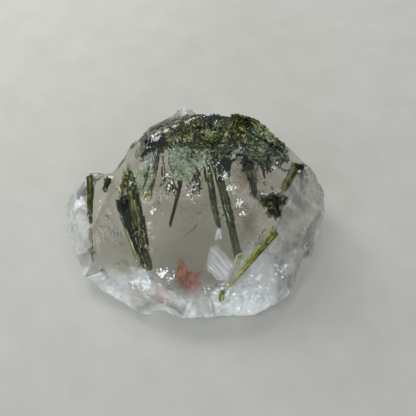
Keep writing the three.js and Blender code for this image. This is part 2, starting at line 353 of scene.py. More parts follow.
# The broken surface along each ray: the rounded least of the lumps and each scoop's ball, without the fine
# breaks. Its frosting is shared out in the same way.
def brokenReach(rays):
    reach, frost, _, _ = lumpReach(rays, quartz["rounding"])
    table = np.array(quartz["scoops"])
    normal = facing(table[:, 3], table[:, 4])
    centre = table[:, :3] + normal * (table[:, 5] - table[:, 6])[:, None]
    for place, radius, cover in zip(centre, table[:, 5], table[:, 7]):
        near = ballReach(rays, place, radius)
        both = np.stack([reach, near], 1)
        reach, _ = roundedLeast(both, quartz["rounding"])
        _, wide = roundedLeast(both, quartz["frostBlend"])
        frost = wide[:, 0] * frost + wide[:, 1] * cover
    return reach, frost


# Centres and radii of the chips: balls at surface + normal (radius - dip), on edges and frosted parts.
def chipBalls():
    rng = np.random.default_rng(7)
    centres, radii = [], []
    for count, small, large, shallow, deep, onEdge, onFrost in quartz["chips"]:
        ray = unit(rng.normal(size=(count * 12, 3)))
        _, frost, normal, edge = lumpReach(ray, 0.5)
        wanted = rng.random(len(ray)) < onFrost * frost + onEdge * (edge > 0.22)
        pick = np.flatnonzero(wanted)[:count]
        normal = unit(normal[pick] + rng.normal(scale=0.2, size=(len(pick), 3)))
        surface, _ = brokenReach(ray[pick])
        radius = rng.uniform(small, large, len(pick))
        dip = rng.uniform(shallow, deep, len(pick)) * (0.5 + 0.5 * radius / large)
        centres.append(middle + ray[pick] * surface[:, None] + normal * (radius - dip)[:, None])
        radii.append(radius)
    return np.vstack(centres), np.concatenate(radii)


# The finished surface along each ray: big faces, chips, splintered frosted parts and a flat base at z = 0.
def quartzReach(rays):
    reach, frost = brokenReach(rays)
    _, _, normal, _ = lumpReach(rays, 0.3)
    sharp = 1 - (normal**2).sum(1)  # 0 on a face, sin² of half the bend on an edge
    worn = quartz["edgeFrost"] * sharp * np.clip(0.7 - rays[:, 1], 0.1, 1) - 0.1  # less at the back
    frost = np.maximum(frost, worn)
    for centre, radius in zip(*chipBalls()):
        reach = np.minimum(reach, ballReach(rays, centre, radius))
    spot = middle + rays * reach[:, None]
    frost = np.maximum(frost, nearness(spot, quartz["frosty"]))
    rough = np.clip(frost * 1.4 - 0.15, 0, 1)
    reach = reach + rough * relief(splinters, spot, quartz["frostSplinters"])
    crestShare = np.clip((spot[:, 2] - quartz["crestFrom"]) / 2, 0, 1)
    reach = reach + crestShare * relief(splinters, spot, quartz["crestSplinters"])
    reach = reach + relief(wander, spot, quartz["waves"]) - quartz["sunk"]
    floor = np.where(rays[:, 2] < -1e-6, -middle[2] / np.minimum(rays[:, 2], -1e-6), farAway)
    return np.minimum(reach, floor), np.where(floor < reach, quartz["baseFrost"], frost)


# A mesh from points in millimetres, with attributes per point and a material number per face.
def meshOf(name, points, faces, attributes=None, materials=(), faceMaterial=None, smooth=True):
    mesh = bpy.data.meshes.new(name)
    mesh.from_pydata(np.asarray(points) * metresPerMm, [], faces)
    for key, values in (attributes or {}).items():
        values = np.asarray(values, dtype=float)
        kind, field = ("FLOAT", "value") if values.ndim == 1 else ("FLOAT_VECTOR", "vector")
        mesh.attributes.new(key, kind, "POINT").data.foreach_set(field, values.ravel())
    for material in materials:
        mesh.materials.append(material)
    if faceMaterial is not None:
        mesh.polygons.foreach_set("material_index", faceMaterial)
    mesh.polygons.foreach_set("use_smooth", np.full(len(mesh.polygons), smooth))
    mesh.update()
    piece = bpy.data.objects.new(name, mesh)
    bpy.context.scene.collection.objects.link(piece)
    return piece


# Directions (cos u, sin u cos v, sin u sin v): rings of spokes, then one at each end of the X axis.
def lumpGrid():
    rows, spokes = quartz["rows"], quartz["spokes"]
    u = np.pi * np.arange(1, rows) / rows
    v = 2 * np.pi * np.arange(spokes) / spokes
    u, v = (a.ravel() for a in np.meshgrid(u, v, indexing="ij"))
    rays = np.stack([np.cos(u), np.sin(u) * np.cos(v), np.sin(u) * np.sin(v)], 1)
    rays = np.vstack([rays, [[1, 0, 0], [-1, 0, 0]]])
    # the rings run from +X to -X, so the faces are turned round to face outward
    return rays, [[face[0], *face[:0:-1]] for face in shellFaces(1, rows - 1, spokes)]


# Two unit directions at right angles to each axis; the first is turned from level by the angle in degrees.
def besideAxis(axis, turn):
    level = unit(np.cross(axis, [0, 0, 1.0]) + np.array([1e-6, 0, 0]))
    upright = np.cross(axis, level)
    c, s = np.cos(np.radians(turn))[:, None], np.sin(np.radians(turn))[:, None]
    return c * level + s * upright, c * upright - s * level


# Faces of many closed shapes, each of rings x spokes points and then its first and last pole.
def shellFaces(count, rings, spokes):
    i, j = (a.ravel() for a in np.meshgrid(np.arange(rings - 1), np.arange(spokes), indexing="ij"))
    k = (j + 1) % spokes
    quads = np.stack([i * spokes + j, i * spokes + k, (i + 1) * spokes + k, (i + 1) * spokes + j], 1)
    j, k = np.arange(spokes), (np.arange(spokes) + 1) % spokes
    last, pole = (rings - 1) * spokes, rings * spokes
    ends = np.vstack([np.stack([np.full(spokes, pole), k, j], 1),
                      np.stack([np.full(spokes, pole + 1), last + j, last + k], 1)])
    start = (np.arange(count) * (pole + 2))[:, None, None]
    return (quads + start).reshape(-1, 4).tolist() + (ends + start).reshape(-1, 3).tolist()


# Crystals. A row of rods is root, tip, radius, flatness, turn, taper and tone. A rounded triangle
# r (1 + 0.14 cos 3a) with grooves g cos(9a + phase) is carried from root to tip, and the ends slant.
def crystals(rods, rings, spokes, seed, groove=0.05, sway=0.1):
    rods = np.asarray(rods, dtype=float)
    count = len(rods)
    rng = np.random.default_rng(seed)
    root, tip = rods[:, :3], rods[:, 3:6]
    radius, flat, turn, taper, tone = rods[:, 6:].T
    axis = tip - root
    length = np.linalg.norm(axis, axis=1)
    axis /= length[:, None]
    level, upright = besideAxis(axis, turn)
    t = np.linspace(0, 1, rings)[None, :, None]
    a = (2 * np.pi * np.arange(spokes) / spokes)[None, None, :]
    phase = rng.uniform(0, fullTurn, (4, count, 1, 1))
    wide = 1 - (1 - taper[:, None, None]) * t**1.5
    wide = wide * (1 + sway * np.sin(5 * t + phase[0]) * np.sin(11 * t + phase[1]))
    shape = 1 + 0.14 * np.cos(3 * a) + groove * np.cos(9 * a + phase[2] + 1.5 * t)
    reach = radius[:, None, None] * wide * shape
    along = length[:, None, None] * t + 0 * a
    slant = radius[:, None, None] * (0.7 * np.cos(a + phase[3]) + 0.25 * np.cos(4 * a + phase[1]))
    along = along + slant * ((t == 1) - 0.7 * (t == 0))
    x, y = reach * np.cos(a), reach * np.sin(a) * flat[:, None, None]
    lean = radius[:, None, None] * sway * 2.5 * np.sin(np.pi * t + phase[0]) * (1 + 0 * a)
    x, y = x + lean, y + 0.5 * lean
    grid = np.stack([x, y, along], -1).reshape(count, -1, 3)
    ends = np.stack([grid[:, :spokes].mean(1), grid[:, -spokes:].mean(1)], 1)
    grid = np.concatenate([grid, ends], 1)
    frames = np.stack([level, upright, axis], 1)
    points = root[:, None] + np.einsum("nki,nij->nkj", grid, frames)
    grain = grid + rng.uniform(-40, 40, (count, 1, 3))
    tone = np.repeat(tone, grid.shape[1])
    return points.reshape(-1, 3), shellFaces(count, rings, spokes), grain.reshape(-1, 3), tone


# Each rod and some thin ones beside it, from start to stop along it and moved aside by spread * radius.
def sheaf(rods, seed, thin=6, spread=0.75, share=(0.25, 0.5)):
    rods = np.asarray(rods, dtype=float)
    rng = np.random.default_rng(seed)
    found = [rods]
    level, upright = besideAxis(unit(rods[:, 3:6] - rods[:, :3]), rods[:, 8])
    for _ in range(thin):
        angle = rng.uniform(0, fullTurn, len(rods))[:, None]
        aside = (np.cos(angle) * level + np.sin(angle) * upright * rods[:, 7:8]) * rods[:, 6:7] * spread
        start = rng.uniform(0, 0.55, len(rods))[:, None]
        stop = np.minimum(start + rng.uniform(0.3, 0.8, len(rods))[:, None], 1.02)
        one = rods.copy()
        one[:, :3] = rods[:, :3] * (1 - start) + rods[:, 3:6] * start + aside
        one[:, 3:6] = rods[:, :3] * (1 - stop) + rods[:, 3:6] * stop + aside * (1 - 0.3 * stop)
        one[:, 6] = rods[:, 6] * rng.uniform(*share, len(rods))
        one[:, 7] = rng.uniform(0.6, 1, len(rods))
        one[:, 8] = rng.uniform(0, 120, len(rods))
        one[:, 9] = rng.uniform(0.5, 0.9, len(rods))
        one[:, 10] = rods[:, 10] + rng.uniform(-0.22, 0.3, len(rods))
        found.append(one)
    return np.vstack(found)


# Rods with given ends, radius and tone, whose flatness, turn and taper are drawn at random.
def looseRods(rng, root, tip, radius, tone):
    count = len(root)
    rest = [rng.uniform(0.5, 1, count), rng.uniform(0, 120, count), rng.uniform(0.5, 1, count)]
    return np.column_stack([root, tip, radius, *rest, tone])


# Small crystals strewn along an axis: spot = root + t (tip - root) + spread * aside, leaning off the axis. A
# row is root, tip, spread at each, lean, how many, least and most radius and length, tone and its spread.
# Those that would leave the quartz are left out.
def strands(rows, seed):
    rng = np.random.default_rng(seed)
    table = repeated(rows, 9)
    count = len(table)
    axis = unit(table[:, 3:6] - table[:, :3])
    t = rng.uniform(0, 1, (count, 1))
    spread = table[:, 6:7] * (1 - t) + table[:, 7:8] * t
    spot = table[:, :3] * (1 - t) + table[:, 3:6] * t + rng.normal(size=(count, 3)) * spread * 0.6
    way = unit(axis + rng.normal(size=(count, 3)) * table[:, 8:9])
    radius = rng.uniform(table[:, 10], table[:, 11])
    half = rng.uniform(table[:, 12], table[:, 13])[:, None] / 2
    tone = table[:, 14] + rng.normal(size=count) * table[:, 15]
    root, tip = spot - way * half, spot + way * half
    under = [np.abs(insideQuartz(end, 0.2) - end).sum(1) < 1e-6 for end in (root, tip)]
    return looseRods(rng, root, tip, radius, tone)[under[0] & under[1]]


# Thin closed films or balls: (a sin s cos f, b sin s sin f, -c cos s) about each centre, with a ragged
# outline. The third result is each point's place in its film, in millimetres.
def films(centres, azimuths, tilts, turns, wide, tall, thick, rings, spokes, seed, ragged=0.15):
    centres = np.asarray(centres, dtype=float)
    count = len(centres)
    rng = np.random.default_rng(seed)
    normal = facing(np.asarray(azimuths, float), np.asarray(tilts, float))
    level, upright = besideAxis(normal, np.asarray(turns, float))
    s = np.linspace(0, np.pi, rings + 2)[1:-1][None, :, None]
    f = (2 * np.pi * np.arange(spokes) / spokes)[None, None, :]
    phase = rng.uniform(0, fullTurn, (4, count, 1, 1))
    ripple = np.sin(3 * f + phase[0]) + 0.7 * np.sin(5 * f + phase[1]) + 0.5 * np.sin(9 * f + phase[2])
    edge = 1 + ragged * ripple
    wide, tall, thick = (np.broadcast_to(q, count)[:, None, None] for q in (wide, tall, thick))
    x = wide * np.sin(s) * np.cos(f) * edge
    y = tall * np.sin(s) * np.sin(f) * edge
    grid = np.stack([x, y, 0 * x - thick * np.cos(s)], -1).reshape(count, -1, 3)
    ends = np.zeros((count, 2, 3))
    ends[:, 0, 2], ends[:, 1, 2] = -thick[:, 0, 0], thick[:, 0, 0]
    grid = np.concatenate([grid, ends], 1)
    points = centres[:, None] + np.einsum("nki,nij->nkj", grid, np.stack([level, upright, normal], 1))
    return points.reshape(-1, 3), shellFaces(count, rings, spokes), grid.reshape(-1, 3)


# A thin closed film inside a ring of corners: centre + (ring - centre) sin s, up and down by thick cos s. Its
# grain is the place along its first edge and across it; inward is 1 - sin s.
def film(corners, seed, ragged, thick=0.05, rings=11, spokes=72):
    corners = np.array(corners, dtype=float)
    loop = np.vstack([corners, corners[:1]])
    travel = np.r_[0, np.cumsum(np.linalg.norm(np.diff(loop, axis=0), axis=1))]
    at = np.linspace(0, travel[-1], spokes, endpoint=False)
    ring = np.stack([np.interp(at, travel, loop[:, k]) for k in range(3)], 1)
    centre = ring.mean(0)
    normal = np.cross(corners - centre, np.roll(corners, -1, axis=0) - centre).sum(0)
    normal /= np.linalg.norm(normal)
    wobble = 1 + ragged * (wander(ring, 1.1, seed) + 0.6 * wander(ring, 0.5, seed + 1))
    s = np.linspace(0, np.pi, rings + 2)[1:-1][:, None, None]
    spread = (ring - centre) * wobble[:, None]
    points = centre + spread * np.sin(s) - normal * thick * np.cos(s)
    poles = centre + normal * np.array([[-thick], [thick]])
    points = np.vstack([points.reshape(-1, 3), poles])
    along = corners[1] - corners[0]
    along /= np.linalg.norm(along)
    across = np.cross(normal, along)
    grain = np.stack([(points - centre) @ along, (points - centre) @ across, 0 * points[:, 0] + seed], 1)
    inward = np.append(np.repeat(1 - np.sin(s[:, 0, 0]), spokes), [1.0, 1.0])
    return points, shellFaces(1, rings, spokes), grain, inward


# Several parts, each points, faces and values per point, as one set of arrays.
def joined(*parts):
    points, faces, values, start = [], [], [], 0
    for part in parts:
        faces += [[start + k for k in face] for face in part[1]]
        start += len(part[0])
        points.append(part[0])
        values.append(part[2:])
    return np.concatenate(points), faces, *(np.concatenate(v) for v in zip(*values))


# Clear quartz; where frost is high its skin is part frosted glass and part milk. Lamp light passes it.
def quartzFinish():
    f = Finish("quartz_clear_and_frosted")
    cloud, fine = f.noise(3.5, 3), f.noise(0.8, 3)
    frost = f.attribute("frost")
    mask = (frost + (cloud - 0.5) * (0.15 + 0.35 * frost) + (fine - 0.5) * 0.2 * frost).step(0.05, 1.0)
    ripple = f.noise(3.2, 2, stretch=(1, 1, 0.6), distort=0.6)
    hackle = f.noise(2.0, 3, stretch=(1.6, 0.5, 0.5), distort=1.5)
    streaks = (0.3 + 1.5 * f.attribute("streaks")) * hackle
    clear = f.shader(Base_Color=(1, 1, 1, 1), Roughness=0.02, IOR=1.544, Transmission_Weight=1.0,
                     Normal=f.bump(ripple + 0.25 * f.noise(0.9, 2) + streaks, 0.3, 0.5))
    lamp = f.add("ShaderNodeLightPath", output="Is Shadow Ray")
    through = f.add("ShaderNodeBsdfTransparent", None, {"Color": (0.88, 0.88, 0.86, 1)})
    icy = f.bump(f.facets(1.8) + 0.5 * f.facets(0.8) + 0.4 * ripple + 0.1 * fine, 0.6)
    frosted = f.shader(Base_Color=(1, 1, 1, 1), Roughness=0.3, IOR=1.4, Transmission_Weight=1.0, Normal=icy)
    milkColour = f.ramp(cloud * 0.6 + fine * 0.4, (0.3, (0.82, 0.88, 0.88)), (0.5, (0.90, 0.98, 0.98)),
                        (0.68, (0.94, 0.99, 1.0)))
    rusty = (f.attribute("rust") + (cloud - 0.5) + (fine - 0.5) * 1.5).step(0.2, 0.9)
    milkColour = f.blend(rusty * 0.8, milkColour, (0.60, 0.38, 0.25, 1))
    milk = f.shader(Base_Color=milkColour, Roughness=0.08, IOR=1.544, Subsurface_Weight=0.35,
                    Subsurface_Radius=(1, 1, 0.9), Subsurface_Scale=0.0015, Normal=icy)
    skin = f.mixShader(0.45 + 0.4 * mask, f.mixShader(lamp, frosted, through), milk)
    smoke = {"Color": (0.57, 0.535, 0.4, 1), "Density": 29.0}
    volume = f.add("ShaderNodeVolumeAbsorption", None, smoke)
    return f.finish(f.mixShader(mask, f.mixShader(lamp, clear, through), skin), volume)


# A crack inside, with fine brushed streaks. The crack is real; the silvery sheen it shows is painted into its
# pale colour (painted reflection). It fades at its edge.
def paintedSheenCrackFinish():
    f = Finish("crack_with_painted_silver_sheen")
    streak = f.noise(1.0, 4, at=f.grain((0.25, 3.2, 1)))
    wide = f.noise(1.0, 2, at=f.grain((0.15, 0.8, 1)))
    colour = f.ramp(streak * 0.6 + wide * 0.4, (0.32, (0.50, 0.51, 0.52)), (0.5, (0.66, 0.68, 0.71)),
                    (0.66, (0.90, 0.92, 0.96)))
    seen = (streak * 0.5 + wide * 0.6).step(0.25, 0.72) * f.attribute("frost").step(0.0, 0.35)
    return f.finish(f.shader(Base_Color=colour, Roughness=0.35, Alpha=seen * 0.8, IOR=1.6))


# Rust-red stain on a crack, patchy, fading out at its edge.
def stainFinish():
    f = Finish("rust_stain")
    patch, fine = f.noise(1.7, 4, distort=0.5), f.noise(0.4, 3)
    line = f.noise(1.0, 3, at=f.grain((0.25, 1.7, 1)))
    shade = patch * 0.4 + line * 0.4 + fine * 0.2
    colour = f.ramp(shade, (0.36, (0.07, 0.015, 0.008)), (0.46, (0.20, 0.055, 0.03)),
                    (0.56, (0.34, 0.13, 0.08)), (0.68, (0.55, 0.33, 0.24)))
    colour = f.blend(f.attribute("rust").step(0.3, 1.0), colour, (0.33, 0.14, 0.05, 1))
    seen = (patch * 0.5 + line * 0.3 + f.attribute("frost") * 0.6).step(0.3, 0.75)
    return f.finish(f.shader(Base_Color=colour, Roughness=0.4, Alpha=seen * 0.92))


# Brownish smoky cracks, mostly clear.
def smokyFinish():
    f = Finish("smoky_crack")
    cloud, fine = f.noise(1.8, 4, distort=0.6), f.noise(0.5, 3)
    colour = f.ramp(cloud * 0.5 + fine * 0.5, (0.35, (0.045, 0.03, 0.014)), (0.5, (0.15, 0.11, 0.06)),
                    (0.65, (0.30, 0.25, 0.18)))
    seen = (cloud * 0.55 + fine * 0.3 + f.attribute("frost") * 0.4).step(0.35, 0.95)
    return f.finish(f.shader(Base_Color=colour, Roughness=0.3, Alpha=seen * 0.6))


# Painted glints: small films, partly clear, whose blue-white colour stands in for sparkles of light and also
# glows a little.
def paintedGlintFinish():
    f = Finish("painted_glint_films")
    patch = f.noise(0.5, 2)
    colour = f.ramp(patch, (0.3, (0.55, 0.62, 0.68)), (0.5, (0.93, 0.97, 1.0)))
    # the emission is painted light: the films glow though they are no lamp
    return f.finish(f.shader(Base_Color=colour, Roughness=0.25, Emission_Color=colour,
                             Emission_Strength=0.25, Alpha=patch.step(0.34, 0.56)))


# Tourmaline: tone goes from black to pale, through grey-green or, in patches, through olive.
def tourmalineFinish(name, olive=0.0):
    f = Finish(name)
    streak = f.noise(1.0, 4, at=f.grain((2.2, 2.2, 0.22)))
    fine = f.noise(1.0, 3, at=f.grain((5.0, 5.0, 1.6)))
    patch = f.noise(1.0, 3, at=f.grain((0.5, 0.5, 0.4)))
    tone = f.attribute("tone") + (streak - 0.5) * 1.0 + (patch - 0.5) * 0.8 + (fine - 0.5) * 0.9
    greyGreen = f.ramp(tone, (0.0, (0.002, 0.003, 0.002)), (0.24, (0.012, 0.020, 0.008)),
                       (0.44, (0.048, 0.072, 0.024)), (0.62, (0.12, 0.165, 0.065)),
                       (0.8, (0.27, 0.33, 0.17)), (1.0, (0.55, 0.63, 0.47)))
    oliveGreen = f.ramp(tone, (0.0, (0.003, 0.005, 0.001)), (0.24, (0.016, 0.022, 0.004)),
                        (0.44, (0.060, 0.068, 0.009)), (0.6, (0.15, 0.15, 0.022)),
                        (0.78, (0.28, 0.28, 0.06)), (1.0, (0.50, 0.50, 0.2)))
    share = (f.noise(4.5, 2) + 0.5 * (patch - 0.5) + olive + f.attribute("olive")).step(0.42, 0.62)
    normal = f.bump(streak + 0.6 * fine, 0.15)
    return f.finish(f.shader(Base_Color=f.blend(share, greyGreen, oliveGreen), Roughness=0.1 + 0.3 * fine,
                             IOR=1.5, Normal=normal, Specular_IOR_Level=0.2))


# Thin veils of tiny crystals and bubbles under the surface, grey-green and half clear.
def veilFinish():
    f = Finish("grey_green_veil")
    cloud, fine = f.noise(1.6, 4, distort=0.4), f.noise(0.35, 3)
    colour = f.ramp(fine * 0.6 + cloud * 0.4, (0.34, (0.04, 0.06, 0.03)), (0.5, (0.24, 0.30, 0.19)),
                    (0.64, (0.58, 0.66, 0.52)))
    seen = (cloud * 0.7 + fine * 0.5 + f.attribute("frost") * 0.4).step(0.5, 0.85)
    return f.finish(f.shader(Base_Color=colour, Roughness=0.3, Alpha=seen * 0.85))


print("quartz")
inside = {
    "depths": {"silver": 0.3, "stain": 0.3, "veil": 0.7, "smoky": 0.4},  # least depth under the surface
    # cracks with a painted silvery sheen: corners, the streaks run along the first edge
    "silver": [
        [[5, -9.9, 13.3], [9.8, -14.7, 10.5], [8.1, -18.6, 7.9], [4.7, -17.7, 8.4], [2.3, -15.6, 9.6],
         [2.7, -12.4, 11.6], [3.5, -10.5, 12.8]],
        [[5.2, -6.2, 15.5], [4.5, -9.9, 13.2], [6.4, -9.5, 13.6], [6, -5.8, 15.9]],
        [[-11.6, -15.1, 10.2], [-10.6, -18, 7.6], [-13.1, -17.5, 6], [-14.2, -14.9, 8.9]],
        [[-3, -12.4, 11.3], [-2.75, -12.5, 11.1], [-0.5, -15.6, 9.4], [-0.75, -15.4, 9.6]],
        [[-2.4, -11.8, 11.5], [-2.2, -11.9, 11.4], [0.5, -14.8, 9.9], [0.25, -14.6, 10.1]],
    ],
    # smoky cracks and rust stains, corners
    "smoky": [
        [[14.8, 13.8, 26.2], [16.8, 12.3, 25.6], [18.6, 9.1, 24.2], [20.5, 11.6, 22.2], [22.7, 9.9, 21.2],
         [23.4, 13.5, 20.6], [20, 16, 23.6], [16.3, 17.2, 27]],
        [[9.6, -2.2, 17.1], [16, -1.8, 16.6], [15, -8.8, 12.5], [10.8, -9.9, 12.4]],
        [[8.8, 7.5, 22.3], [11.9, 8.6, 22.8], [16.1, 6.8, 22], [16.8, 3.9, 20], [13, 1, 19], [9.2, 2.4, 20]],
        [[2.3, -4.6, 16], [2.6, -4.8, 15.8], [-3.7, -9.3, 12.6], [-4, -8.9, 12.9]],
        [[1, -4.1, 16.1], [1.3, -4.3, 15.9], [-1.1, -8.9, 12.9], [-1.4, -8.6, 13.2]],
    ],
    "stain": [
        [[-4.5, -12.7, 11], [-5.4, -16.8, 8.4], [-4.2, -18.9, 7.2], [-2, -20.3, 6.4], [0.8, -20.1, 6.3],
         [2.1, -19, 7.4], [1.1, -17.6, 8.3], [1.8, -15.7, 9.4], [-0.1, -16.1, 9.1], [-2, -15, 9.7],
         [-3.5, -12.7, 11]],
        [[-7.3, 12.2, 25.2], [-6.7, 11.7, 25.1], [-5.9, 12.1, 25.2], [-6.1, 12.8, 25.4], [-6.9, 12.9, 25.4]],
        [[-9, -17.5, 7.4], [-6.1, -18.4, 7.4], [-3.9, -20.7, 5.1], [-8, -21.6, 3.9], [-10.5, -19.8, 4.2]],
    ],
    # where rust shows through the frosted skin: x, y, z, radius and how much
    "rust": [[-8.5, -19.5, 6, 3, 0.5], [-4.5, -20.5, 5.8, 2.4, 0.5], [0.5, -20.8, 6, 2, 0.4],
             [-13.4, -17.6, 6.2, 1.6, 0.3], [-17, -19, 4, 7, 0.3], [-6.6, 12.4, 25.3, 1.5, 1.2]],
    # where the clear skin has curved breaking marks: the same
    "streaks": [[-20, -4, 13, 7, 1], [-24, -10, 8, 6, 1], [28, 2, 12, 7, 0.4], [-14, 6, 18, 5, 0.4],
                [-4, -12, 12, 5, 0.25], [14, -4, 16, 4, 0.3]],
    # grey-green veils, corners
    "veil": [
        [[-6.8, 9.6, 25], [-7.4, 5.6, 23.4], [-5.2, 2.4, 22.2], [-1.8, 1.8, 22], [0.2, 4.6, 23.2],
         [0.4, 8.6, 24.8], [-2.6, 10.6, 25.5]],
        [[0.2, 9.4, 25], [-0.4, 5.8, 23.6], [1.4, 4.2, 22.8], [3, 6, 23.6], [2.8, 9.2, 24.9]],
        [[-15, 8, 19], [-15.6, 2.4, 16.6], [-12.6, 1, 17.2], [-9.6, 5.2, 20.6], [-11, 8.6, 21.6]],
        [[9.6, 8.6, 24.4], [9.4, 5.6, 23.2], [12.6, 5.8, 22.8], [16.2, 6, 22], [16.8, 9.2, 22.8],
         [13, 10, 24.4]],
        [[5.7, 5.5, 21.9], [7.6, 5, 21.8], [11.9, -4.2, 17], [10.1, -3.2, 17.6]],
    ],
    # painted glints, small glowing films: x, y, z, spread, how many, size
    "glints": [
        [-10.7, -3.3, 17.4, 0.9, 14, 0.5], [-8.1, -16.6, 9.5, 1.4, 26, 0.55],
        [-6.2, -17.6, 9.2, 1.1, 14, 0.45], [-14.4, -16.9, 6.3, 1.5, 26, 0.6], [-30.4, 5.2, 8.2, 2, 40, 0.7],
        [-1.4, 0.2, 20.8, 2.2, 34, 0.4], [-6.4, 3, 21.6, 2, 26, 0.4], [4, 6.2, 24, 1.8, 24, 0.35],
        [7.2, 3.8, 22.2, 1, 44, 0.3], [8.8, 0.8, 20.6, 1, 44, 0.3], [10.4, -2.2, 18.8, 0.9, 40, 0.3],
        [11.6, -4.6, 17.6, 0.7, 20, 0.35], [17, -1.2, 19, 1.2, 26, 0.3], [-12.4, -18.4, 7.2, 1.6, 34, 0.6],
        [13, -21.6, 5.2, 3, 30, 0.6], [18.6, 6.4, 22.4, 1.6, 14, 0.4], [-10, 14, 24.4, 1.6, 20, 0.3],
        [-2, 12, 26, 4, 36, 0.22], [11, 12, 26, 4, 36, 0.22], [25.8, 6.8, 20.8, 0.7, 6, 0.4],
        [16, -19, 6.4, 3.2, 30, 0.6], [6, -20, 7.2, 3, 22, 0.55], [21, -13, 6.4, 2.6, 18, 0.6],
    ],
}


# The quartz surface with its films inside, as one piece of six finishes.
def buildQuartz():
    rays, faces = lumpGrid()
    reach, frost = quartzReach(rays)
    shell = middle + rays * reach[:, None]
    sheets = []
    for number, (kind, depth) in enumerate(inside["depths"].items()):
        ragged = 0.03 if kind == "silver" else 0.11
        parts = [film(corners, 21 + 20 * number + k, ragged) for k, corners in enumerate(inside[kind])]
        points, parts, *values = joined(*parts)
        sheets.append((insideQuartz(points, depth), parts, *values))
    rng = np.random.default_rng(31)
    # painted glints: small glowing films strewn under the surface
    rows, spots = strewn(rng, inside["glints"], 0.5)
    spots = insideQuartz(spots, 0.4)
    size = rows[:, 5] * rng.uniform(0.25, 1.1, len(rows))
    azimuth, tilt = rng.uniform(-160, -20, len(rows)), rng.uniform(0, 80, len(rows))
    glint = films(spots, azimuth, tilt, rng.uniform(0, 180, len(rows)),
                  size, size * rng.uniform(0.3, 0.8, len(rows)), 0.03, 3, 9, 33)
    parts = [(shell, faces, shell * 0, frost), *sheets, (*glint, np.zeros(len(glint[0])))]
    points, faces, grain, frost = joined(*parts)
    which = np.repeat(np.arange(6), [len(part[1]) for part in parts])
    finishes = [quartzFinish(), paintedSheenCrackFinish(), stainFinish(), veilFinish(), smokyFinish(), paintedGlintFinish()]
    extra = {"frost": frost, "grain": grain, "rust": nearness(points, inside["rust"]),
             "streaks": nearness(points, inside["streaks"])}
    return meshOf("quartz_lump", points, faces, extra, finishes, which)


# Points moved towards the middle until they lie at least a gap under the quartz surface.
def insideQuartz(points, gap):
    away = points - middle
    distance = np.linalg.norm(away, axis=1)
    rays = away / distance[:, None]
    reach, _ = quartzReach(rays)
    return middle + rays * np.minimum(distance, reach - gap)[:, None]


quartzPiece = buildQuartz()
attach(quartzPiece, "root")
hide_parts("quartz")

print("tourmaline crystals")
greenFinish = tourmalineFinish("tourmaline_dark_green")
oliveFinish = tourmalineFinish("tourmaline_olive", 0.3)

# Each row is root, tip, radius, flatness, turn, taper and tone.
crystalGroups = {
    "left_bundle": [
        [-16.2, 3.6, 16.9, -12.2, -14.8, 10.2, 0.95, 1, 0, 0.7, 0.3],
        [-17.6, 1.8, 14.6, -14.8, -6.4, 12.2, 1.9, 0.9, 25, 0.7, -0.35],
        [-15.8, -3.6, 12.4, -12.6, -12.4, 10.6, 1.1, 0.9, 25, 0.7, -0.1],
        [-14.6, 3.4, 16.9, -10.9, -15.4, 10, 0.8, 1, 0, 0.8, 0.3],
        [-18.4, -1.6, 13, -13.2, -14.4, 9.8, 0.5, 1, 0, 0.8, 0.62],
    ],
    "left_lobe_needle": [
        [-27.4, 11.2, 12.6, -26.9, 0.6, 9.2, 0.8, 0.9, 0, 0.6, 0.28],
        [-26.95, 1.6, 9.5, -25.7, -9.4, 4.7, 0.5, 0.9, 0, 0.6, 0.45],
    ],
    "notch_stub": [[-22.9, 10.4, 12.6, -23.3, 7.6, 11.4, 0.85, 0.8, 0, 0.8, 0.2]],
    "right_blade": [
        [19.5, -8, 15, 8.2, -19.5, 9.2, 0.9, 0.6, 20, 0.5, 0.55],
        [18, -8.6, 14.7, 13.8, -13.4, 12.6, 1.25, 0.5, 20, 0.8, 0.6],
        [18.6, -8.2, 14.8, 12.6, -14.6, 12, 0.85, 0.6, 60, 0.8, 0.68],
    ],
    "right_cluster": [
        [18.2, -0.4, 19.2, 20.2, -4.4, 16.8, 1.3, 1, 0, 0.8, 0.12],
        [16.4, -2.4, 19.2, 22, -1, 18.2, 1.2, 1, 0, 0.8, 0.2],
        [21, -0.2, 19.2, 17.8, -4.2, 17.2, 1, 1, 0, 0.8, 0.3],
        [19.4, -1.6, 16.4, 19.6, -2.4, 19.4, 1.3, 1, 0, 0.8, 0.1],
    ],
    "right_prism": [
        [26.4, 7.8, 20.2, 24.2, 7, 21.8, 1, 1, 0, 0.8, 0],
        [24.2, 7.2, 21.4, 21.5, 1.2, 20, 1.2, 0.8, 0, 0.8, 0.42],
        [25.8, 8.4, 19.8, 26, 4, 16.6, 0.45, 1, 0, 0.8, 0.4],
    ],
    "rim_fleck": [[6.5, -20.6, 8.3, 6.2, -22.4, 5.9, 0.6, 1, 0, 0.7, 0.6]],
}
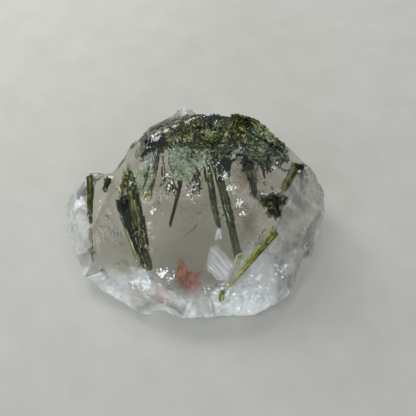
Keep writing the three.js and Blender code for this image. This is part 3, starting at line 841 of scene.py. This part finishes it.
# Small crystals grown along them; strands() says what a row holds.
grownAlong = {
    "left_bundle": [
        [-17.6, 9.4, 17.2, -15.2, 2.6, 16.4, 1.7, 1.3, 0.7, 260, 0.15, 0.5, 0.6, 2.2, 0.54, 0.28],
        [-18.8, 4, 14.8, -16.2, 5, 17, 1.3, 1.1, 0.9, 90, 0.15, 0.4, 0.6, 1.8, 0.48, 0.25],
        [-15.8, 2, 16.2, -11.9, -14.8, 10.3, 1.2, 0.8, 0.15, 190, 0.12, 0.38, 1, 3.6, 0.42, 0.28],
        [-17.4, 1.8, 14.6, -14.6, -6, 12, 1.6, 1.2, 0.3, 60, 0.2, 0.5, 1, 2.6, -0.05, 0.15],
    ],
    "left_lobe_needle": [
        [-27.4, 11, 12.4, -26.9, 1, 9.4, 0.6, 0.45, 0.2, 46, 0.14, 0.35, 0.8, 2.6, 0.32, 0.24],
    ],
    "notch_stub": [[-22.9, 10.6, 12.6, -23.2, 8, 11.6, 0.8, 0.7, 0.3, 22, 0.15, 0.4, 0.8, 1.6, 0.35, 0.25]],
    "right_blade": [
        [19.2, -8.2, 14.9, 9, -18.7, 9.5, 0.9, 0.4, 0.08, 90, 0.1, 0.26, 1.2, 3.6, 0.55, 0.25],
        [18.4, -8.4, 14.8, 13.6, -13.6, 12.4, 1.5, 0.9, 0.25, 130, 0.15, 0.4, 0.8, 2.4, 0.62, 0.25],
        [11.8, -13.4, 12.6, 9.8, -16.6, 11, 0.8, 0.6, 0.4, 70, 0.15, 0.4, 0.6, 1.8, 1, 0.15],
    ],
    "right_cluster": [
        [18, -0.6, 19, 20.4, -3.6, 17.2, 1.4, 1.4, 0.9, 130, 0.18, 0.5, 0.7, 2.2, 0.24, 0.28],
    ],
    "right_prism": [
        [26, 7.8, 20, 23.6, 6.4, 21.2, 0.8, 0.7, 0.8, 26, 0.15, 0.4, 0.6, 1.6, 0.15, 0.3],
        [24, 6.6, 21.3, 21.6, 1.4, 20.2, 0.6, 0.6, 0.15, 34, 0.12, 0.3, 1, 2.8, 0.45, 0.25],
    ],
}
# How olive a group is besides its own patches.
oliveShare = {"right_prism": 0.2, "left_bundle": 0.08, "left_lobe_needle": 0.1}
for number, (name, rods) in enumerate(crystalGroups.items()):
    rods = sheaf(rods, 40 + number, 6)
    parts = [crystals(rods, 14, 27, 60 + number)]
    if name in grownAlong:
        parts.append(crystals(strands(grownAlong[name], 80 + number), 4, 6, 90 + number, 0.0, 0.05))
    points, faces, grain, tone = joined(*parts)
    finish = oliveFinish if name == "right_blade" else greenFinish
    extra = {"grain": grain, "tone": tone, "olive": tone * 0 + oliveShare.get(name, 0)}
    piece = meshOf("tourmaline_" + name + "_crystals", points, faces, extra, [finish])
    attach(piece, "root")
    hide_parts("tourmaline_" + name)

print("tourmaline crest")
crest = {
    "clumps": [
        [-12.2, 14.6, 20.8, 4.2, 4.4, 3.2], [-7, 17.2, 21.4, 5.2, 4.8, 3.6], [-1, 14.6, 23.6, 6, 6.6, 3.4],
        [-0.8, 9.6, 22.6, 4.8, 3.4, 2.2], [5.5, 14.4, 24.6, 6.2, 6.4, 4], [11.4, 16.8, 25, 6, 5, 4],
        [15.8, 12.2, 23.6, 5.2, 5.4, 3.8], [19.3, 11.8, 22.4, 3.3, 3.7, 2.7],
    ],
    "needles": [
        [1.9, 9, 23.4, 5.8, -6.6, 15.4, 0.85, 1, 0, 0.6, 0.34],
        [4, 9.4, 23.9, 10.5, -12.9, 11.7, 1.15, 0.6, 0, 0.8, 0.36],
        [8.3, 4.3, 21, 8.8, 7.5, 22.9, 0.3, 1, 0, 0.8, 0.1],
        [8.8, 7.5, 22.9, 11.9, 8.6, 23.6, 0.35, 1, 0, 0.8, 0.1],
        [11.9, 8.6, 23.6, 16.1, 6.8, 22.8, 0.35, 1, 0, 0.8, 0.1],
        [16.1, 6.8, 22.8, 16.8, 3.9, 20.8, 0.3, 1, 0, 0.8, 0.15],
        [-1.6, 11, 23.4, -6.3, -6.2, 15.1, 0.55, 1, 0, 0.6, 0.15],
        [-8, 15, 21, -11.3, 0, 17, 0.85, 0.6, 0, 0.8, 0.6],
        [13.2, 12, 22.4, 14.2, 1.4, 18.2, 1, 0.7, 0, 0.6, 0.3],
        [7.4, 12, 23, 8, 4.6, 20.6, 1.1, 1, 0, 0.8, 0.2],
    ],
    # fine needles that hang from it, as in strands()
    "hanging": [
        [-14.2, 19.6, 19.2, -8.6, 19.8, 22.6, 1.5, 1.6, 1, 150, 0.12, 0.4, 0.6, 2, 0.4, 0.25],
        [-8, 18.6, 23, 0, 18.2, 26, 1.5, 1.5, 1, 150, 0.12, 0.4, 0.6, 2, 0.42, 0.25],
        [-10.6, 10.4, 21.4, -12.6, 4, 18.4, 0.8, 0.6, 0.12, 24, 0.12, 0.4, 1.2, 4, 0.5, 0.25],
        [-6, 9, 22.8, -5.4, 1, 19.4, 2.4, 1.4, 0.3, 90, 0.06, 0.26, 0.8, 3, 0.36, 0.3],
        [-0.6, 7, 23.4, -0.4, 0, 20, 2.2, 1.2, 0.3, 90, 0.06, 0.26, 0.8, 3, 0.36, 0.3],
        [2, 8, 23.4, 5.6, -6, 15.8, 0.7, 0.35, 0.08, 70, 0.1, 0.3, 1.4, 5, 0.38, 0.26],
        [5.2, 5, 22.6, 10, -11.4, 12.6, 0.6, 0.4, 0.06, 60, 0.1, 0.3, 1.4, 5, 0.42, 0.26],
        [12.8, 9, 22.8, 13.8, 2.6, 19, 1.3, 0.7, 0.12, 60, 0.1, 0.34, 1, 3.6, 0.3, 0.26],
        [17.8, 8.4, 22.8, 17.4, 6, 21.8, 1.4, 1, 0.5, 50, 0.12, 0.4, 0.8, 2.4, 0.2, 0.25],
    ],
    # small felted crystals over the clumps: how many, least and most radius and length
    "felt": [[4500, 0.1, 0.32, 0.35, 1.3], [150, 0.15, 0.35, 1, 2.2]],
    # depth under the quartz: the back on the right, the back's foot, most of the front's middle, elsewhere
    "depths": [-0.6, 0.7, 2.2, 0.3],
    "core": 0.76,  # size of the solid core of a clump
    "lumps": 1.4,  # height of its knobbly lumps
    # lighter, darker and more or less olive places: x, y, z, radius, added tone, added olive
    "patches": [
        [-3.1, 9.5, 24, 3, 0.12, -0.3], [2.3, 8, 24, 1.8, 0.35, -0.5], [0.3, 9, 24.8, 1.1, 0.25, 0.6],
        [-3.3, 5, 22.8, 1.3, 0.2, 0.5], [-0.7, 16.4, 27.2, 1.4, 0.3, 0.7], [4.2, 10.4, 25.3, 1.4, -0.5, 0],
        [1.3, 12.9, 25.8, 1.4, -0.6, 0], [12.9, 15.8, 27.2, 1.7, -0.6, 0], [-12, 13.6, 22.9, 3.2, -0.6, 0],
        [3.5, 15, 26.6, 1.8, -0.25, -0.5], [11.6, 9.8, 25.3, 3, -0.05, -0.5],
        [16.3, 11.1, 26, 2.2, 0.25, -0.6], [18.6, 8.7, 25, 2.2, -0.25, -0.4],
        [-7.7, 15, 26.1, 2.6, 0.1, -0.4], [10.2, 17, 27.6, 2.8, 0, 0.2], [7.2, 13.2, 26.2, 2.2, 0.12, 0],
        [-1.4, 14.8, 26.4, 2.6, 0, 0.35], [12.1, 11.5, 25.9, 1, 0.3, 0.8],
    ],
    # black stout crystals near the surface: x, y, z, spread, how many
    "black": [
        [-11.7, 13.4, 22.3, 1, 16], [-8.4, 12.6, 24, 0.9, 8], [0.6, 15, 26.6, 1.1, 14],
        [12.6, 15.6, 27.4, 1.2, 16], [19.6, 11.6, 23.4, 1.3, 22], [21.8, 9.4, 22.4, 0.8, 8],
        [12, 6.4, 24.2, 1.3, 14],
    ],
}


# Small crystals at p = centre + size * n, each lying along a random direction that leans off n.
def feltRods(rng, count, thin, thick, short, long):
    table = np.array(crest["clumps"])
    area = table[:, 3] * table[:, 4]
    pick = rng.choice(len(table), count, p=area / area.sum())
    n = unit(rng.normal(size=(count, 3)) + [0, -0.25, 0.6])
    spot = table[pick, :3] + table[pick, 3:] * n * rng.uniform(0.8, 1.1, (count, 1))
    way = rng.normal(size=(count, 3))
    way = way - (way * n).sum(1)[:, None] * n * rng.uniform(0.2, 0.9, (count, 1))
    tone = 0.5 + 0.26 * wander(spot, 4.5, 4) + 0.26 * wander(spot, 1.5, 6)
    tone = tone + rng.normal(scale=0.2, size=count)
    return placedRods(rng, spot, way, tone, thin, thick, short, long)


# Rods about given spots, kept under the quartz except on the crest's back at the right, where they stand out.
def placedRods(rng, spot, way, tone, thin, thick, short, long):
    count = len(spot)
    way = unit(way)
    half = rng.uniform(short, long, (count, 1)) / 2
    proud = (spot[:, 0] > 1) & (spot[:, 1] > 11)
    veiled = (np.abs(spot[:, 0] + 1.5) < 5) & (spot[:, 1] < 12) & (rng.random(count) > 0.3)
    notch = np.abs(spot[:, 0] - 7.5) < 1.5
    *depths, elsewhere = crest["depths"]
    gap = np.select([proud & ~notch, spot[:, 1] > 18.5, veiled], depths, elsewhere)
    root, tip = insideQuartz(spot - way * half, gap), insideQuartz(spot + way * half, gap)
    return looseRods(rng, root, tip, rng.uniform(thin, thick, count), tone)


# The crest's small rods: the felt, then the stout black ones.
def crestRods():
    rng = np.random.default_rng(12)
    felt = [feltRods(rng, *row) for row in crest["felt"]]
    _, spot = strewn(rng, crest["black"], 0.6)
    way = rng.normal(size=spot.shape)
    return np.vstack(felt + [placedRods(rng, spot, way, np.full(len(spot), -0.1), 0.35, 0.8, 1.2, 2.8)])


# The crest: knobbly cores under the felt, long needles with thin ones beside them, and the small rods.
def buildCrest():
    table = np.array(crest["clumps"])
    level = np.zeros(len(table))
    half = table[:, 3:].T * crest["core"]
    spots, faces, grain = films(table[:, :3], level - 90, level + 89.9, level, *half, 16, 28, 5, 0.1)
    knobbly = np.stack([relief(splinters, spots, [[1, 1.6, 70 + k], [1, 0.8, 80 + k]]) for k in range(3)], 1)
    core = (insideQuartz(spots + crest["lumps"] * knobbly, 0.7), faces, grain, 0.1 + 0.5 * knobbly[:, 0])
    needles = crystals(sheaf(crest["needles"], 51, 5), 12, 21, 52)
    rods = np.vstack([crestRods(), strands(crest["hanging"], 54)])
    small = crystals(rods, 3, 5, 53, groove=0.0, sway=0.05)
    points, faces, grain, tone = joined(core, needles, small)
    smooth = np.repeat([True, False], [len(core[1]) + len(needles[1]), len(small[1])])
    tone = tone + nearness(points, [row[:5] for row in crest["patches"]])
    olive = nearness(points, [row[:4] + row[5:] for row in crest["patches"]])
    extra = {"grain": grain, "tone": tone, "olive": olive}
    return meshOf("tourmaline_crest_crystals", points, faces, extra, [greenFinish], smooth=smooth)


crestPiece = buildCrest()
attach(crestPiece, "root")
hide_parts("tourmaline_crest")

print("floor, light and camera")
studio = {
    "floorDrop": 0.05,  # the floor lies this far under the stone
    "floorReach": 1500.0,  # and this far to each side
    "target": (3, 11, 0),
    "distance": 225.6,
    "elevation": 52,
    "focal": 72.17,
    # the room's light against the height looked at: dim at the horizon, brightest overhead
    "sky": {"From Min": -0.1, "From Max": 0.9, "To Min": 0.1, "To Max": 0.5},
    # lamps: place, size in mm, watts, colour; the front one is a sun: direction, degrees, strength, colour
    "lights": {
        "key": [(-192, 272, 250), 220, 0.95, (1, 0.99, 0.96)],
        "fill": [(-260, -160, 260), 120, 0.2, (0.93, 0.97, 1)],
        "glint": [(60, 330, 300), 40, 0.15, (1, 1, 1)],
        "front": [(-60, -430, 70), 25, 1.5, (0.95, 0.98, 1)],
    },
}


# Pale and matt, faintly uneven.
def floorFinish():
    f = Finish("pale_floor")
    shade = f.noise(9, 4)
    colour = f.ramp(shade, (0.3, (0.53, 0.525, 0.49)), (0.7, (0.57, 0.565, 0.53)))
    return f.finish(f.shader(Base_Color=colour, Roughness=0.9))


reach, low = studio["floorReach"], -studio["floorDrop"]
corners = [[-reach, -reach, low], [reach, -reach, low], [reach, reach, low], [-reach, reach, low]]
floor = meshOf("floor", corners, [[0, 1, 2, 3]], materials=[floorFinish()], smooth=False)

for name, (place, size, watts, colour) in studio["lights"].items():
    lamp = bpy.data.lights.new(name, "SUN" if name == "front" else "AREA")
    lamp.energy, lamp.color = watts, colour
    if name == "front":
        lamp.angle = math.radians(size)
    else:
        lamp.size = size * metresPerMm
    holder = bpy.data.objects.new(name, lamp)
    holder.location = Vector(place) * metresPerMm
    holder.rotation_euler = (-Vector(place)).to_track_quat("-Z", "Y").to_euler()
    holder.visible_transmission = False  # the large lamps aren't seen through the glass
    bpy.context.scene.collection.objects.link(holder)

world = bpy.data.worlds.new("soft_room")
world.use_nodes = True
sky = world.node_tree.nodes
sky["Background"].inputs["Color"].default_value = (0.95, 0.97, 1, 1)
where, parts, rise = (sky.new("ShaderNode" + kind) for kind in ("TexCoord", "SeparateXYZ", "MapRange"))
rise.interpolation_type = "SMOOTHSTEP"
for socket, value in studio["sky"].items():
    rise.inputs[socket].default_value = value
join = world.node_tree.links.new
join(where.outputs["Generated"], parts.inputs[0])
join(parts.outputs["Z"], rise.inputs["Value"])
join(rise.outputs[0], sky["Background"].inputs["Strength"])
bpy.context.scene.world = world

lens = bpy.data.cameras.new("camera")
lens.lens, lens.sensor_width, lens.clip_end = studio["focal"], 36, 10
camera = bpy.data.objects.new("camera", lens)
tilt = math.radians(studio["elevation"])
target = Vector(studio["target"]) * metresPerMm
camera.location = target + Vector((0, -math.cos(tilt), math.sin(tilt))) * studio["distance"] * metresPerMm
camera.rotation_euler = (math.pi / 2 - tilt, 0, 0)
bpy.context.scene.collection.objects.link(camera)
bpy.context.scene.camera = camera
bpy.context.scene.view_settings.view_transform = "Standard"
bpy.context.scene.cycles.transparent_max_bounces = 32
bpy.context.scene.cycles.transmission_bounces = 16
bpy.context.scene.cycles.max_bounces = 16
